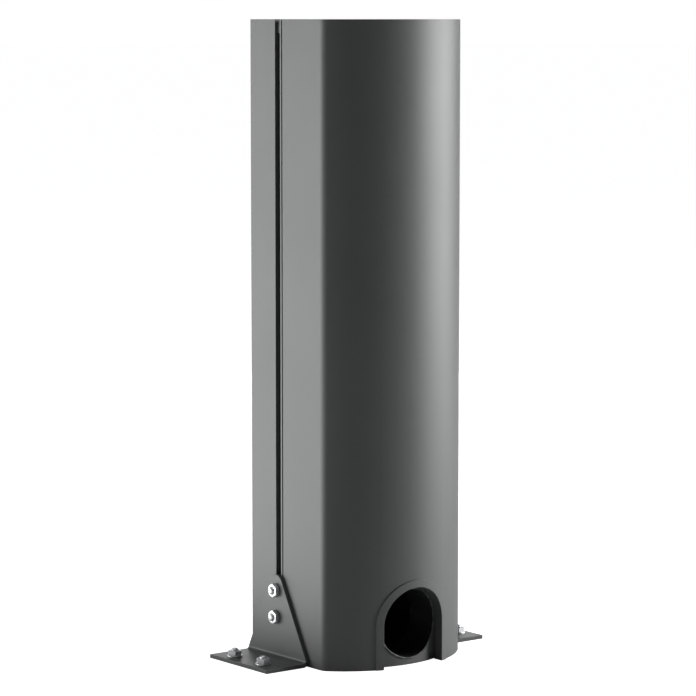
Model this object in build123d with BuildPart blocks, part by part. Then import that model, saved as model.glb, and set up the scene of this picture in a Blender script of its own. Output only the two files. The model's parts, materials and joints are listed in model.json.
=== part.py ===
from build123d import *
import math
import os

# Retractable bollard with a gas-spring post in a D-section casing. Millimetres, +Z up.
# The origin is on the floor, midway between the two side slots. The bowed front faces -Y.

# ---- Casing ----
CASING_HEIGHT = 662.0
CASING_HALF_WIDTH = 90.0
CASING_REAR_Y = 47.5
BOW_CENTRE_Y = 4.0             # every bowed front in the assembly is turned about this line
BOW_RADIUS = 120.0
CORNER_RADIUS = 12.0           # front corners, where flank and bow meet
REAR_CORNER_RADIUS = 1.5
CORNER_LEAST = 0.5
WALL = 3.0
PLATE_CLEARANCE = 0.3          # base plate and top frame, inside the casing walls
BASE_THICKNESS = 5.0
TOP_SEAT_Z = 648.0             # inner features of the casing stop here, under the top frame
TOP_FRAME_TOP_Z = 660.0

# ---- Reach of the cuts ----
CUT_PAST = 1.0                 # a cut runs this far past the last face it opens
CUT_REACH = 200.0              # half length of a cut across the whole assembly
FRONT_CUT_Y = -70.0            # cuts through the bowed fronts run forwards from here
FRONT_CUT_DEPTH = 60.0

# ---- Side slots and the joint of the front cover ----
SLOT_HALF = 4.1
SLOT_CHAMBER_HALF = 7.5
SLOT_LIP = 4.5
SLOT_CHAMBER_DEPTH = 7.0
SLOT_WALL = 3.0
LIP_FRONT_Y = -6.4
COVER_EDGE_Y = -8.0
TONGUE_END_Y = -22.0
TONGUE_THICKNESS = 2.5
TONGUE_GAP = 0.1
HOOK_X = 81.0                  # inner face of the cover's hooks
HOOK_THICKNESS = 2.5
HOOK_FRONT_Y = -26.5
HOOK_WEB = 3.0
HOOK_END_Y = -14.0
HOOK_END_GAP = 0.5

# ---- Guide casing (inner tube) ----
GUIDE_HALF_WIDTH = 74.0
GUIDE_REAR_Y = 41.0
GUIDE_BOW_RADIUS = 109.0
GUIDE_FLANGE_REAR_Y = -27.5
GUIDE_BASE_FLANGE = 6.0
GUIDE_TOP_FLANGE = 8.0
GUIDE_FOOT_Z = 0.4             # the wall behind the arch ends just above the floor
LEDGE_GAP = 2.0                # between the ledges and the post
LEDGE_HEIGHT = 5.0
LEDGE_ROOT = 0.5               # the ledges start this deep in the wall
GUIDE_RUNNING_GAP = 0.35       # between the plastic guides and what they run on
RING_GAP = 0.1                 # round the rings that sit in the guide casing
STOP_GAP = 0.5
STOP_RING_HEIGHT = 5.0
SEAL_SEAT_DEPTH = 5.0
SEAL_LIP_GAP = 0.4
SEAL_TOP_DROP = 0.2
PILLAR_RADIUS = 8.0
PILLAR_TOP_Z = 92.0
BUFFER_RADIUS = 9.0
BUFFER_CHAMFER = 2.0
BUFFER_GAP = 0.3
SPACER_RADIUS = 8.0
SPACER_GAP = 0.2

# ---- Rising post ----
POST_HALF_WIDTH = 64.0
POST_REAR_Y = 31.0
POST_BOW_RADIUS = 99.0
POST_CORNER_RADIUS = 10.0
POST_REAR_RADIUS = 6.0
POST_WALL = 4.0
POST_BOTTOM_Z = 112.0
POST_TOP_Z = 647.0
CAP_TOP_Z = 661.0
CAP_CHAMFER = 1.5
FOOT_THICKNESS = 8.0
FOOT_LIP = 4.0                 # the foot plate stands out this far under the guide shoe
SHOE_HEIGHT = 25.0
STROKE = 440.0
BAND_BOTTOM_Z = 540.0
BAND_HEIGHT = 50.0
BAND_DEPTH = 0.8
BAND_GAP = 0.2

# ---- Port and arch at the foot of the casing ----
PORT_Z = 43.5
PORT_OUTER_RADIUS = 37.4
PORT_INNER_RADIUS = 35.5
PORT_INNER_END_Y = -62.0
PORT_GAP = 0.1
PORT_RIM_PROUD = 0.8
ARCH_Z = 44.2
ARCH_HALF = 38.3               # clear inside of the trim
ARCH_LINING = 2.0
ARCH_FLANGE = 8.0              # width of the trim's face, which laps over the cover
ARCH_PROUD = 1.2
ARCH_GAP = 1.0                 # between the trim's lining and the plates beside it

# ---- Foot brackets and M8 fixings ----
BRACKET_THICKNESS = 4.0
BRACKET_REACH = 54.0
BRACKET_WIDTH = 100.0
BRACKET_CENTRE_Y = -2.0
BRACKET_TOP_RADIUS = 11.5
BRACKET_TOP_Z = 89.5
BRACKET_BEND = 7.0
SIDE_BOLT_Z = (45.0, 73.0)
ANCHOR_INSET = 14.0
ANCHOR_HALF_PITCH = 25.0
M8_RADIUS = 3.9
M8_HOLE_RADIUS = 4.5
T_HEAD_WIDTH = 12.0
T_HEAD_LENGTH = 14.0
T_HEAD_THICKNESS = 4.5
NUT_ACROSS_FLATS = 13.0
NUT_HEIGHT = 5.0
NUT_CORNER_DROP = 0.9
NUT_CORNER_CUT = 1.6
NUT_BORE_CHAMFER = 0.5
WASHER_RADIUS = 8.0
WASHER_THICKNESS = 1.6
WASHER_GAP = 0.3
STUD_PROUD = 2.8
STUD_DOME = 1.8

# ---- M5 countersunk screws ----
M5_RADIUS = 2.4
M5_HOLE_RADIUS = 2.5
M5_HEAD_RADIUS = 4.8
M5_HEAD_GAP = 0.2
M5_HEAD_DEPTH = 2.4
M5_SOCKET_RADIUS = 1.7
M5_SOCKET_DEPTH = 1.6
BOSS_RADIUS = 7.5
SCREW_RING_RADIUS = 111.4
BOW_SCREW_X = 58.0
POST_BOSS_X = 53.0
POST_BOSS_Y = (20.0, -64.0)
PILLAR_X = 50.0
PILLAR_Y = (16.0, -56.0)
REAR_SCREW_X = 40.0
REAR_SCREW_Z = (60.0, 330.0, 600.0)
FRAME_SCREW_LENGTH = 18.0
BASE_SCREW_LENGTH = 10.5
CAP_SCREW_LENGTH = 24.0
FOOT_SCREW_LENGTH = 20.0
SCREW_END_GAP = 0.5

# ---- Gas spring ----
SPRING_Y = -25.0
SPRING_BASE_PIN_Z = 24.0
SPRING_HEAD_PIN_Z = 622.0
SPRING_TUBE_RADIUS = 14.0
SPRING_BORE_RADIUS = 12.0
SPRING_ROD_RADIUS = 6.0
SPRING_TUBE_BOTTOM_Z = 117.0
SPRING_TUBE_TOP_Z = 604.0
SPRING_TUBE_GAP = 1.0
SPRING_END_THICKNESS = 4.0
GLAND_HEIGHT = 12.0
PISTON_BOTTOM_Z = 585.0
PISTON_HEIGHT = 12.0
PISTON_GAP = 0.08
PISTON_CHAMFER = 1.0
EYE_RADIUS = 9.0
EYE_HALF_THICKNESS = 7.0
PIN_RADIUS = 4.0
PIN_START_X = -15.0
PIN_LENGTH = 33.0
PIN_HEAD_LAP = 2.5
PIN_HEAD_THICKNESS = 2.0
CLEVIS_PLATE = 5.0
CLEVIS_BASE_X = 44.0
CLEVIS_BASE_Y = 34.0
CLEVIS_BASE_CORNER = 5.0
CLEVIS_EAR_X = 8.0
CLEVIS_EAR_RADIUS = 10.0

# ---- Lock ----
LOCK_Y = 8.0
LOCK_ROD_RADIUS = 5.0
LOCK_ROD_BOTTOM_Z = 100.0
LOCK_ROD_CHAMFER = 1.0
BARREL_RADIUS = 10.0
BARREL_BOTTOM_Z = 628.0
BARREL_TOP_Z = 656.3
KEY_SIDES = 3
KEY_RADIUS = 6.5
KEY_DEPTH = 9.0
SLEEVE_RADIUS = 13.0
SLEEVE_BOTTOM_Z = 632.0
SLEEVE_HEIGHT = 24.5
BUSH_RADIUS = 8.0
BUSH_FLANGE = 3.0
CAM_BOTTOM_Z = 150.0
CAM_THICKNESS = 5.0
CAM_REACH = 29.5
CAM_HALF_WIDTH = 7.0
CAM_HUB_RADIUS = 11.0
CAM_HEADROOM = 5.0
CAM_SLOT_X = (-24.0, 10.0)
CAM_SLOT_GAP = 1.5
COLLAR_RADIUS = 9.0
COLLAR_HEIGHT = 6.0
KEEPER_X = (-28.0, 14.0)
KEEPER_FACE_Y = 32.5
KEEPER_HEIGHT = 12.0
KEEPER_CHAMFER = 1.0
KEEPER_CAM_GAP = 1.0
KEEPER_NOTCH_GAP = 3.0
RUNNING = 0.05                 # radial clearance of a shaft in its bearing
PRESSED = 0.02                 # radial gap of a pressed pin, kept so that solids stay apart

# ---- Lifting handle and lock cover ----
HANDLE_PIVOT_Y = -30.0
HANDLE_Z = 655.5
HANDLE_HALF_WIDTH = 32.0
HANDLE_REACH = 36.0
HANDLE_BEND = 9.0
HANDLE_ROD_RADIUS = 4.0
HANDLE_EYE_RADIUS = 4.6
HANDLE_EYE_HALF = 4.5
HANDLE_PIN_RADIUS = 2.5
HANDLE_PIN_START_X = 27.0
HANDLE_PIN_END_X = 46.0
HANDLE_POCKET_X = 80.0
HANDLE_POCKET_Y = 50.0
HANDLE_POCKET_CENTRE_Y = -49.0
HANDLE_POCKET_CORNER = 6.0
HANDLE_FLOOR_Z = 650.5
FLAP_RECESS_X = 38.0
FLAP_RECESS_Y = 38.5
FLAP_RECESS_CENTRE_Y = 8.25
FLAP_RECESS_CORNER = 2.0
FLAP_RECESS_Z = 656.5
FLAP_HALF_WIDTH = 18.0
FLAP_FRONT_Y = -10.0
FLAP_REAR_Y = 22.5
FLAP_BOTTOM_Z = 658.2
FLAP_THICKNESS = 2.6
FLAP_CORNER = 3.0
FLAP_PIVOT_Y = 23.5
FLAP_PIVOT_Z = 659.3
FLAP_KNUCKLE_RADIUS = 2.0
FLAP_PIN_RADIUS = 1.0
FLAP_PIN_HALF = 24.0


def bow_y(x, radius):
    """Y of a bowed surface at a given X."""
    return BOW_CENTRE_Y - math.sqrt(radius**2 - x**2)


def d_section(half_width, rear_y, bow_radius, corner, rear_corner):
    """Closed D outline: flat flanks and rear, with the front bowed about the common line."""
    corner_y = bow_y(half_width, bow_radius)
    with BuildSketch() as section:
        with BuildLine():
            Polyline(
                (-half_width, corner_y),
                (-half_width, rear_y),
                (half_width, rear_y),
                (half_width, corner_y),
            )
            ThreePointArc(
                (half_width, corner_y),
                (0, BOW_CENTRE_Y - bow_radius),
                (-half_width, corner_y),
            )
        make_face()
        front_corners = section.vertices().filter_by_position(Axis.Y, corner_y - 1, corner_y + 1)
        fillet(front_corners, corner)
        fillet(section.vertices().group_by(Axis.Y)[-1], rear_corner)
    return section.sketch


def casing_section(inset):
    """The casing's outline moved in by a distance."""
    return d_section(
        CASING_HALF_WIDTH - inset,
        CASING_REAR_Y - inset,
        BOW_RADIUS - inset,
        CORNER_RADIUS - inset,
        max(REAR_CORNER_RADIUS - inset, CORNER_LEAST),
    )


def guide_section(inset):
    """The guide casing's outline moved in by a distance."""
    return d_section(
        GUIDE_HALF_WIDTH - inset,
        GUIDE_REAR_Y - inset,
        GUIDE_BOW_RADIUS - inset,
        CORNER_RADIUS - inset,
        CORNER_RADIUS - inset,
    )


def post_section(grow):
    """The post's outline moved out by a distance (in by a negative one)."""
    return d_section(
        POST_HALF_WIDTH + grow,
        POST_REAR_Y + grow,
        POST_BOW_RADIUS + grow,
        POST_CORNER_RADIUS + grow,
        POST_REAR_RADIUS + grow,
    )


def strip(x_low, x_high, y_low, y_high, mode=Mode.ADD):
    """Rectangle between two corners, in the active sketch."""
    with Locations(((x_low + x_high) / 2, (y_low + y_high) / 2)):
        Rectangle(x_high - x_low, y_high - y_low, mode=mode)


def ring(outer, inner, bottom, top):
    """Upright tube between two outlines."""
    with BuildPart() as tube:
        with BuildSketch(Plane.XY.offset(bottom)):
            add(outer)
            add(inner, mode=Mode.SUBTRACT)
        extrude(amount=top - bottom)
    return tube.part


def arch_outline(half_width):
    """Arch standing on the floor, drawn in the XZ plane: straight legs and a round top."""
    with BuildSketch() as arch:
        with Locations((0, ARCH_Z)):
            Circle(half_width)
        strip(-half_width, half_width, -CUT_PAST, ARCH_Z)
    return arch.sketch


def hex_nut():
    """M8 nut standing on Z = 0, with its outer corners chamfered."""
    corner = NUT_ACROSS_FLATS / math.sqrt(3)
    with BuildPart() as nut:
        with BuildSketch():
            RegularPolygon(corner, 6)
        extrude(amount=NUT_HEIGHT)
        with BuildSketch(Plane.XZ):
            Polygon(
                (0, 0),
                (corner, 0),
                (corner, NUT_HEIGHT - NUT_CORNER_DROP),
                (corner - NUT_CORNER_CUT, NUT_HEIGHT),
                (0, NUT_HEIGHT),
                align=None,
            )
        revolve(axis=Axis.Z, mode=Mode.INTERSECT)
        Hole(M8_RADIUS + RUNNING)
        bore_rim = nut.edges().filter_by(GeomType.CIRCLE).sort_by(Axis.Z)[-1]
        chamfer(bore_rim, NUT_BORE_CHAMFER)
    return nut.part


def domed_stud(length):
    """M8 stud along +Z from Z = 0, with a domed free end."""
    with BuildPart() as stud:
        with BuildSketch():
            Circle(M8_RADIUS)
        extrude(amount=length)
        fillet(stud.edges().sort_by(Axis.Z)[-1], STUD_DOME)
    return stud.part


def countersunk_screw(length):
    """M5 screw with its head's face on Z = 0 and its point at -length, hexagon socket."""
    with BuildPart() as screw:
        with BuildSketch(Plane.XZ):
            Polygon(
                (0, 0),
                (M5_HEAD_RADIUS - M5_HEAD_GAP, 0),
                (M5_RADIUS, -M5_HEAD_DEPTH),
                (M5_RADIUS, -length),
                (0, -length),
                align=None,
            )
        revolve(axis=Axis.Z)
        with BuildSketch():
            RegularPolygon(M5_SOCKET_RADIUS, 6)
        extrude(amount=-M5_SOCKET_DEPTH, mode=Mode.SUBTRACT)
    return screw.part


def spring_clevis(plate_face_z, towards):
    """Fork for an eye of the gas spring; towards is +1 for ears that rise from the plate."""
    pin_z = SPRING_BASE_PIN_Z if towards > 0 else SPRING_HEAD_PIN_Z
    with BuildPart() as clevis:
        with BuildSketch(Plane.XY.offset(plate_face_z)):
            with Locations((0, SPRING_Y)):
                RectangleRounded(CLEVIS_BASE_X, CLEVIS_BASE_Y, CLEVIS_BASE_CORNER)
        extrude(amount=towards * CLEVIS_PLATE)
        for side in (-1, 1):
            with BuildSketch(Plane.YZ.offset(side * CLEVIS_EAR_X)):
                with Locations((SPRING_Y, pin_z)):
                    Circle(CLEVIS_EAR_RADIUS)
                strip(
                    SPRING_Y - CLEVIS_EAR_RADIUS,
                    SPRING_Y + CLEVIS_EAR_RADIUS,
                    min(pin_z, plate_face_z),
                    max(pin_z, plate_face_z),
                )
            extrude(amount=side * CLEVIS_PLATE)
        with BuildSketch(Plane.YZ.offset(-CUT_REACH)):
            with Locations((SPRING_Y, pin_z)):
                Circle(PIN_RADIUS + RUNNING)
        extrude(amount=2 * CUT_REACH, mode=Mode.SUBTRACT)
    return clevis.part


def clevis_pin(pin_z):
    """Pin through a clevis, with a flat head on one end."""
    with BuildPart() as pin:
        with BuildSketch(Plane.YZ.offset(PIN_START_X)):
            with Locations((SPRING_Y, pin_z)):
                Circle(PIN_RADIUS)
        extrude(amount=PIN_LENGTH)
        with BuildSketch(Plane.YZ.offset(PIN_START_X)):
            with Locations((SPRING_Y, pin_z)):
                Circle(PIN_RADIUS + PIN_HEAD_LAP)
        extrude(amount=-PIN_HEAD_THICKNESS)
    return pin.part


def finish(part, name):
    """Names a piece and writes its STEP file."""
    part.label = name
    export_step(part, f"parts/{name}.step")


# Places of the M5 screws that hold the top frame and the base plate.
REAR_BOSS = (80.0, 37.5)
FLANK_SCREW = (80.5, -50.0)
BOW_SCREW = (BOW_SCREW_X, bow_y(BOW_SCREW_X, SCREW_RING_RADIUS))
FRAME_SCREWS = [(side * x, y) for x, y in (REAR_BOSS, FLANK_SCREW, BOW_SCREW) for side in (-1, 1)]
POST_BOSSES = [(side * POST_BOSS_X, y) for y in POST_BOSS_Y for side in (-1, 1)]
PILLARS = [(side * PILLAR_X, y) for y in PILLAR_Y for side in (-1, 1)]
REAR_SCREWS = [(side * REAR_SCREW_X, z) for z in REAR_SCREW_Z for side in (-1, 1)]

# ============================== Fixed casing ==============================

# Rear profile: extrusion with the rear wall, both flanks' rear halves and the side slots.
FLANK_IN = CASING_HALF_WIDTH - WALL
LIP_IN = CASING_HALF_WIDTH - SLOT_LIP
CHAMBER_IN = LIP_IN - SLOT_CHAMBER_DEPTH
SLOT_BACK = CHAMBER_IN - SLOT_WALL
CHAMBER_OUT_Y = SLOT_CHAMBER_HALF + SLOT_WALL
with BuildPart() as rear_profile:
    with BuildSketch():
        strip(-CASING_HALF_WIDTH, CASING_HALF_WIDTH, CASING_REAR_Y - WALL, CASING_REAR_Y)
        strip(-CASING_HALF_WIDTH, -LIP_IN, LIP_FRONT_Y, CASING_REAR_Y)
        strip(-LIP_IN, -SLOT_BACK, -CHAMBER_OUT_Y, CHAMBER_OUT_Y)
        strip(-FLANK_IN, -LIP_IN, -CHAMBER_OUT_Y, LIP_FRONT_Y)
        strip(
            -FLANK_IN + TONGUE_GAP,
            -FLANK_IN + TONGUE_GAP + TONGUE_THICKNESS,
            TONGUE_END_Y,
            -CHAMBER_OUT_Y,
        )
        strip(-LIP_IN, -CHAMBER_IN, -SLOT_CHAMBER_HALF, SLOT_CHAMBER_HALF, mode=Mode.SUBTRACT)
        strip(-CASING_HALF_WIDTH, -LIP_IN, -SLOT_HALF, SLOT_HALF, mode=Mode.SUBTRACT)
        strip(
            -FLANK_IN,
            -LIP_IN,
            CHAMBER_OUT_Y,
            CASING_REAR_Y - WALL,
            mode=Mode.SUBTRACT,
        )
        with Locations((-REAR_BOSS[0], REAR_BOSS[1])):
            Circle(BOSS_RADIUS)
            Circle(M5_HOLE_RADIUS, mode=Mode.SUBTRACT)
        mirror(about=Plane.YZ)
    extrude(amount=CASING_HEIGHT)
    rear_corners = rear_profile.edges().filter_by(Axis.Z).group_by(Axis.Y)[-1]
    fillet(rear_corners, REAR_CORNER_RADIUS)
    for seat_z, seat_height in ((0, BASE_THICKNESS), (TOP_SEAT_Z, CASING_HEIGHT - TOP_SEAT_Z)):
        with BuildSketch(Plane.XY.offset(seat_z)):
            add(casing_section(WALL))
        extrude(amount=seat_height, mode=Mode.SUBTRACT)
    with Locations(Plane((0, CASING_REAR_Y, 0), x_dir=(1, 0, 0), z_dir=(0, 1, 0))):
        with Locations(*[(x, -z) for x, z in REAR_SCREWS]):
            CounterSinkHole(M5_HOLE_RADIUS, M5_HEAD_RADIUS, depth=WALL + CUT_PAST)
finish(rear_profile.part, "rear_profile")

# Front cover: bowed shell whose inner hooks slide down behind the profile's tongues.
with BuildPart() as front_cover:
    with BuildSketch():
        add(casing_section(0))
        add(casing_section(WALL), mode=Mode.SUBTRACT)
        strip(-CUT_REACH, CUT_REACH, COVER_EDGE_Y, CUT_REACH, mode=Mode.SUBTRACT)
    extrude(amount=CASING_HEIGHT)
    with BuildSketch(Plane.XY.offset(BASE_THICKNESS + HOOK_END_GAP)):
        for side in (-1, 1):
            hook_web = sorted((side * HOOK_X, side * FLANK_IN))
            hook_arm = sorted((side * HOOK_X, side * (HOOK_X + HOOK_THICKNESS)))
            strip(*hook_web, HOOK_FRONT_Y, HOOK_FRONT_Y + HOOK_WEB)
            strip(*hook_arm, HOOK_FRONT_Y + HOOK_WEB, HOOK_END_Y)
    extrude(amount=TOP_SEAT_Z - BASE_THICKNESS - 2 * HOOK_END_GAP)
    with BuildSketch(Plane.XZ.offset(-FRONT_CUT_Y)):
        add(arch_outline(ARCH_HALF + ARCH_LINING))
    extrude(amount=FRONT_CUT_DEPTH, mode=Mode.SUBTRACT)
finish(front_cover.part, "front_cover")


def arch_band(outer_half, back_radius):
    """Part of the arch trim: an arch-shaped band from the trim's face back to a bowed surface."""
    with BuildPart() as band:
        with BuildSketch(Plane.XZ.offset(-FRONT_CUT_Y)):
            add(arch_outline(outer_half))
            add(arch_outline(ARCH_HALF), mode=Mode.SUBTRACT)
        extrude(amount=FRONT_CUT_DEPTH)
        with BuildSketch():
            with Locations((0, BOW_CENTRE_Y)):
                Circle(BOW_RADIUS + ARCH_PROUD)
                Circle(back_radius, mode=Mode.SUBTRACT)
        extrude(amount=ARCH_Z + outer_half + CUT_PAST, mode=Mode.INTERSECT)
    return band.part


# Arch trim: lines the cut edge of the cover back to the guide casing, and laps over its outside.
with BuildPart() as arch_trim:
    add(arch_band(ARCH_HALF + ARCH_LINING, GUIDE_BOW_RADIUS + PORT_GAP))
    add(arch_band(ARCH_HALF + ARCH_FLANGE, BOW_RADIUS))
finish(arch_trim.part, "arch_trim")

# Base plate: carries the guide casing, and leaves the arch free.
BASE_ARCH_HALF = ARCH_HALF + ARCH_LINING + ARCH_GAP
with BuildPart() as base_plate:
    with BuildSketch():
        add(casing_section(WALL + PLATE_CLEARANCE))
        with BuildSketch(mode=Mode.SUBTRACT):
            strip(-BASE_ARCH_HALF, BASE_ARCH_HALF, FRONT_CUT_Y - FRONT_CUT_DEPTH, FRONT_CUT_Y)
            with Locations((0, BOW_CENTRE_Y)):
                Circle(GUIDE_BOW_RADIUS - WALL, mode=Mode.SUBTRACT)
    extrude(amount=BASE_THICKNESS)
    with Locations(Plane.XY.rotated((180, 0, 0))):
        with Locations(*[(x, -y) for x, y in FRAME_SCREWS]):
            CounterSinkHole(M5_HOLE_RADIUS, M5_HEAD_RADIUS, depth=BASE_THICKNESS + CUT_PAST)
finish(base_plate.part, "base_plate")

# Guide casing: inner tube that the post runs in, with a flange at each end and two inner ledges.
SHOE_TOP_RAISED_Z = POST_BOTTOM_Z + SHOE_HEIGHT + STROKE
STOP_LEDGE_Z = SHOE_TOP_RAISED_Z + STOP_GAP + STOP_RING_HEIGHT
RAISED_KEEPER_TOP_Z = CAM_BOTTOM_Z + STROKE - STOP_GAP
GUIDE_LEDGE_Z = CAM_BOTTOM_Z + STROKE + CAM_THICKNESS + CAM_HEADROOM
with BuildPart() as guide_casing:
    add(ring(guide_section(0), guide_section(WALL), BASE_THICKNESS, TOP_SEAT_Z))
    with BuildSketch(Plane.XY.offset(GUIDE_FOOT_Z)):
        add(guide_section(0))
        add(guide_section(WALL), mode=Mode.SUBTRACT)
        strip(
            -BASE_ARCH_HALF + PLATE_CLEARANCE,
            BASE_ARCH_HALF - PLATE_CLEARANCE,
            FRONT_CUT_Y - FRONT_CUT_DEPTH,
            FRONT_CUT_Y,
            mode=Mode.INTERSECT,
        )
    extrude(amount=BASE_THICKNESS - GUIDE_FOOT_Z)
    flanges = ((BASE_THICKNESS, GUIDE_BASE_FLANGE), (TOP_SEAT_Z - GUIDE_TOP_FLANGE, GUIDE_TOP_FLANGE))
    for flange_z, flange_height in flanges:
        with BuildSketch(Plane.XY.offset(flange_z)):
            add(casing_section(WALL + PLATE_CLEARANCE))
            add(guide_section(WALL), mode=Mode.SUBTRACT)
            strip(-CUT_REACH, CUT_REACH, GUIDE_FLANGE_REAR_Y, CUT_REACH, mode=Mode.SUBTRACT)
            if flange_z < ARCH_Z:
                strip(
                    -BASE_ARCH_HALF,
                    BASE_ARCH_HALF,
                    FRONT_CUT_Y - FRONT_CUT_DEPTH,
                    FRONT_CUT_Y,
                    mode=Mode.SUBTRACT,
                )
            with Locations(*[place for place in FRAME_SCREWS if place[1] < GUIDE_FLANGE_REAR_Y]):
                Circle(M5_HOLE_RADIUS, mode=Mode.SUBTRACT)
        extrude(amount=flange_height)
    for ledge_z in (STOP_LEDGE_Z, GUIDE_LEDGE_Z):
        add(ring(guide_section(LEDGE_ROOT), post_section(LEDGE_GAP), ledge_z, ledge_z + LEDGE_HEIGHT))
    with BuildSketch(Plane.XZ.offset(-FRONT_CUT_Y)):
        with Locations((0, PORT_Z)):
            Circle(PORT_OUTER_RADIUS + PORT_GAP)
    extrude(amount=FRONT_CUT_DEPTH, mode=Mode.SUBTRACT)
    with BuildSketch(Plane.XZ.offset(-GUIDE_REAR_Y - CUT_PAST)):
        with Locations(*REAR_SCREWS):
            Circle(M5_HOLE_RADIUS)
    extrude(amount=WALL + 2 * CUT_PAST, mode=Mode.SUBTRACT)
finish(guide_casing.part, "guide_casing")

# Port spigot: short pipe into the sump for the drain hose, with a rim that follows the guide wall.
with BuildPart() as port_spigot:
    with BuildSketch(Plane.XZ.offset(-PORT_INNER_END_Y)):
        with Locations((0, PORT_Z)):
            Circle(PORT_OUTER_RADIUS)
            Circle(PORT_INNER_RADIUS, mode=Mode.SUBTRACT)
    extrude(amount=FRONT_CUT_DEPTH)
    with BuildSketch():
        with Locations((0, BOW_CENTRE_Y)):
            Circle(GUIDE_BOW_RADIUS + PORT_RIM_PROUD)
    extrude(amount=PORT_Z + PORT_OUTER_RADIUS + CUT_PAST, mode=Mode.INTERSECT)
finish(port_spigot.part, "port_spigot")

# Top frame: closes the gap round the post, with a seat for the wiper seal.
SEAL_SEAT_Z = TOP_FRAME_TOP_Z - SEAL_SEAT_DEPTH
with BuildPart() as top_frame:
    add(ring(casing_section(WALL + PLATE_CLEARANCE), post_section(LEDGE_GAP), TOP_SEAT_Z, TOP_FRAME_TOP_Z))
    with BuildSketch(Plane.XY.offset(SEAL_SEAT_Z)):
        add(guide_section(WALL))
    extrude(amount=SEAL_SEAT_DEPTH, mode=Mode.SUBTRACT)
    with Locations(Plane.XY.offset(TOP_FRAME_TOP_Z)):
        with Locations(*FRAME_SCREWS):
            CounterSinkHole(M5_HOLE_RADIUS, M5_HEAD_RADIUS, depth=TOP_FRAME_TOP_Z - TOP_SEAT_Z + CUT_PAST)
finish(top_frame.part, "top_frame")

# Wiper seal, upper guide ring and rubber stop ring, all round the post.
wiper_seal = ring(
    guide_section(WALL + RING_GAP),
    post_section(SEAL_LIP_GAP),
    SEAL_SEAT_Z,
    TOP_FRAME_TOP_Z - SEAL_TOP_DROP,
)
finish(wiper_seal, "wiper_seal")
upper_guide = ring(
    guide_section(WALL + RING_GAP),
    post_section(GUIDE_RUNNING_GAP),
    GUIDE_LEDGE_Z + LEDGE_HEIGHT,
    TOP_SEAT_Z,
)
finish(upper_guide, "upper_guide")
stop_ring = ring(
    guide_section(WALL + RING_GAP),
    post_section(LEDGE_GAP),
    STOP_LEDGE_Z - STOP_RING_HEIGHT,
    STOP_LEDGE_Z,
)
finish(stop_ring, "stop_ring")

# Pillars and rubber buffers that the lowered post rests on.
FOOT_BOTTOM_Z = POST_BOTTOM_Z - FOOT_THICKNESS
BUFFER_TOP_Z = FOOT_BOTTOM_Z - BUFFER_GAP
with BuildPart() as stop_pillars:
    with BuildSketch(Plane.XY.offset(BASE_THICKNESS)):
        with Locations(*PILLARS):
            Circle(PILLAR_RADIUS)
    extrude(amount=PILLAR_TOP_Z - BASE_THICKNESS)
finish(stop_pillars.part, "stop_pillars")
with BuildPart() as stop_buffers:
    with BuildSketch(Plane.XY.offset(PILLAR_TOP_Z)):
        with Locations(*PILLARS):
            Circle(BUFFER_RADIUS)
    extrude(amount=BUFFER_TOP_Z - PILLAR_TOP_Z)
    chamfer(stop_buffers.edges().group_by(Axis.Z)[-1], BUFFER_CHAMFER)
finish(stop_buffers.part, "stop_buffers")

# Keepers: the cam turns under the lower one, and onto the upper one when the post is up.
GUIDE_INNER_REAR_Y = GUIDE_REAR_Y - WALL
with BuildPart() as lowered_keeper:
    with BuildSketch(Plane.XY.offset(CAM_BOTTOM_Z + CAM_THICKNESS + KEEPER_CAM_GAP)):
        strip(*KEEPER_X, KEEPER_FACE_Y, GUIDE_INNER_REAR_Y)
    extrude(amount=KEEPER_HEIGHT)
    keeper_front_edges = lowered_keeper.edges().filter_by(Axis.X).group_by(Axis.Y)[0]
    chamfer(keeper_front_edges.sort_by(Axis.Z)[-1], KEEPER_CHAMFER)
finish(lowered_keeper.part, "lowered_keeper")
with BuildPart() as raised_keeper:
    with BuildSketch(Plane.XY.offset(STOP_LEDGE_Z + LEDGE_HEIGHT)):
        strip(*KEEPER_X, POST_REAR_Y + LEDGE_GAP, GUIDE_INNER_REAR_Y)
    extrude(amount=RAISED_KEEPER_TOP_Z - STOP_LEDGE_Z - LEDGE_HEIGHT)
finish(raised_keeper.part, "raised_keeper")

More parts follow.
